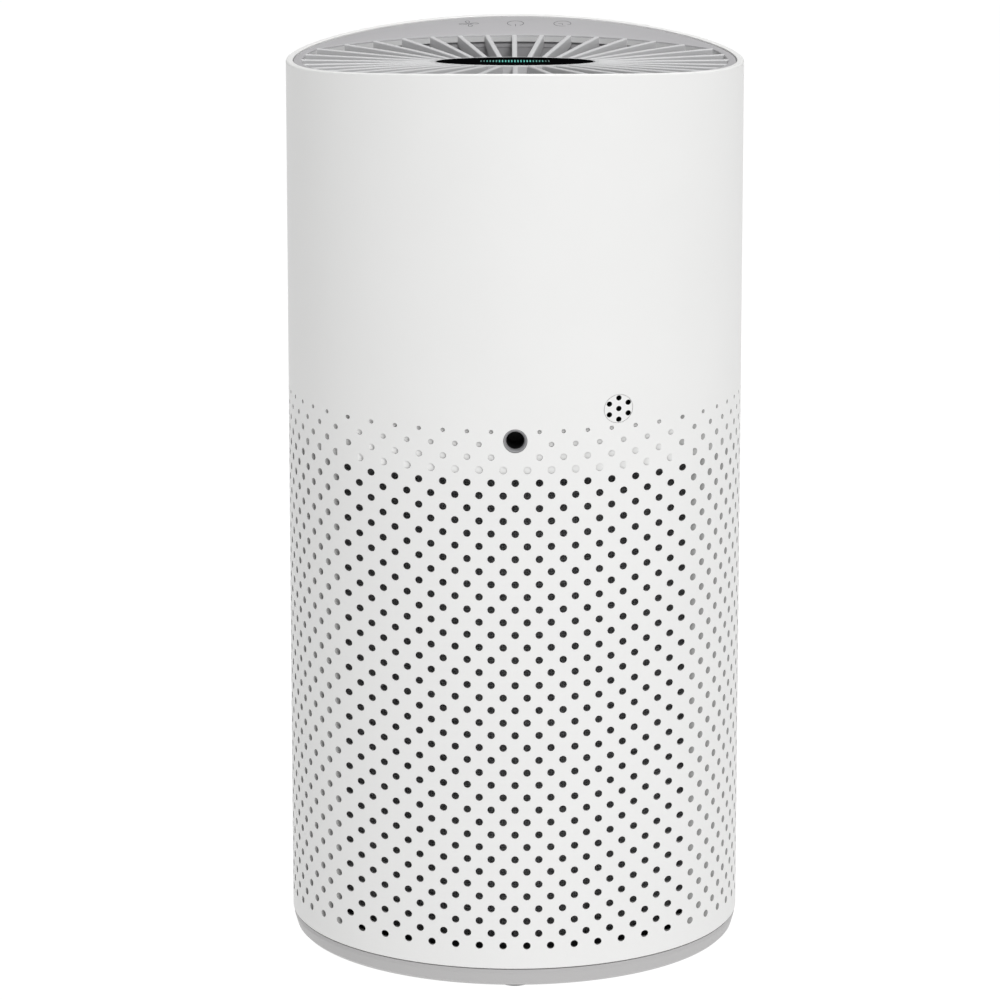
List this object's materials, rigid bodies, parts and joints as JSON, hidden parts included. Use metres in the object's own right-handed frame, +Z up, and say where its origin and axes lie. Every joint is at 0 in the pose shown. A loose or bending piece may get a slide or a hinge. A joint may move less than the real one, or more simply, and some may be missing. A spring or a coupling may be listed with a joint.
{
  "type": "air purifier",
  "caption": "Small round tower air purifier with an all-round perforated shell, ring filter, mixed-flow fan and a finned top outlet round a tilted display.",
  "frame": {"origin": "centre of the base, on the surface it stands on", "axes": "+Z up along the body; +Y towards the user side with the touch symbols; -Y is the rear with the power socket"},
  "size_m": [0.1614, 0.1614, 0.3258],
  "materials": {
    "shell_white": "fine moulded satin",
    "base_grey": "fine moulded satin",
    "ring_grey": "fine moulded satin",
    "grille_grey": "fine moulded satin",
    "window_black": "polished",
    "light_teal": "glowing light bars",
    "lamp_white": "reflective white",
    "duct_grey": "moulded",
    "fan_grey": "moulded glass-filled",
    "socket_grey": "moulded",
    "socket_black": "moulded",
    "rubber_dark": "moulded",
    "filter_paper": "pleated glass-fibre paper",
    "filter_mesh": "woven nylon mesh",
    "carbon_black": "carbon-coated foam",
    "seal_foam": "closed-cell foam",
    "tab_fabric": "woven tape",
    "steel": "zinc-plated",
    "can_steel": "drawn and plated",
    "magnet_dark": "bonded ferrite",
    "winding_copper": "enamelled copper wire",
    "motor_alloy": "die-cast",
    "board_green": "solder mask",
    "part_grey": "moulded components",
    "lead_black": "extruded"
  },
  "bodies": {
    "housing": {"outer_shell": "shell_white", "control_ring": "ring_grey", "outlet_fins": "grille_grey", "outlet_hub": "grille_grey", "outlet_ledge": "grille_grey", "display_lens": "window_black", "light_baffle": "lamp_white", "status_leds": "light_teal", "display_board": "board_green", "jack_bezel": "socket_grey", "dc_jack": "socket_black", "sensor_insert": "shell_white", "sensor_module": "socket_black", "fan_deck": "duct_grey", "inlet_guard": "duct_grey", "fan_housing": "duct_grey", "diffuser_liner": "duct_grey", "diffuser_vanes": "duct_grey", "motor_cup": "duct_grey", "outlet_duct": "duct_grey", "tail_cone": "duct_grey", "lower_bearing": "steel", "upper_bearing": "steel", "motor_stator": "winding_copper", "motor_base": "motor_alloy", "isolator_bushes": "rubber_dark", "motor_screws": "steel", "deck_screws": "steel", "flange_screws": "steel", "main_board": "board_green", "board_parts": "part_grey", "board_screws": "steel", "touch_board": "board_green", "touch_springs": "steel", "touch_lead": "lead_black"},
    "fan_rotor": {"impeller_plate": "fan_grey", "impeller_blades": "fan_grey", "impeller_shroud": "fan_grey", "rotor_can": "can_steel", "rotor_magnet": "magnet_dark", "motor_shaft": "steel", "retaining_ring": "steel"},
    "base": {"base_cover": "base_grey", "rubber_feet": "rubber_dark"},
    "filter": {"pleated_media": "filter_paper", "mesh_sleeve": "filter_mesh", "carbon_core": "carbon_black", "filter_top_cap": "duct_grey", "filter_bottom_cap": "duct_grey", "filter_seal": "seal_foam", "pull_tab": "tab_fabric"}
  },
  "joints": [
    {"name": "fan_spin", "type": "hinge", "parent": "housing", "child": "fan_rotor", "pos_m": [0, 0, 0.24], "axis": [0, 0, 1], "continuous": true},
    {"name": "cover_drop", "type": "slide", "parent": "housing", "child": "base", "axis": [0, 0, -1], "range_m": [0, 0.215]},
    {"name": "filter_drop", "type": "slide", "parent": "housing", "child": "filter", "axis": [0, 0, -1], "range_m": [0, 0.185]}
  ],
  "couplings": [
    {"joint": "filter_drop", "follows": "cover_drop", "ratio": 0.86}
  ]
}
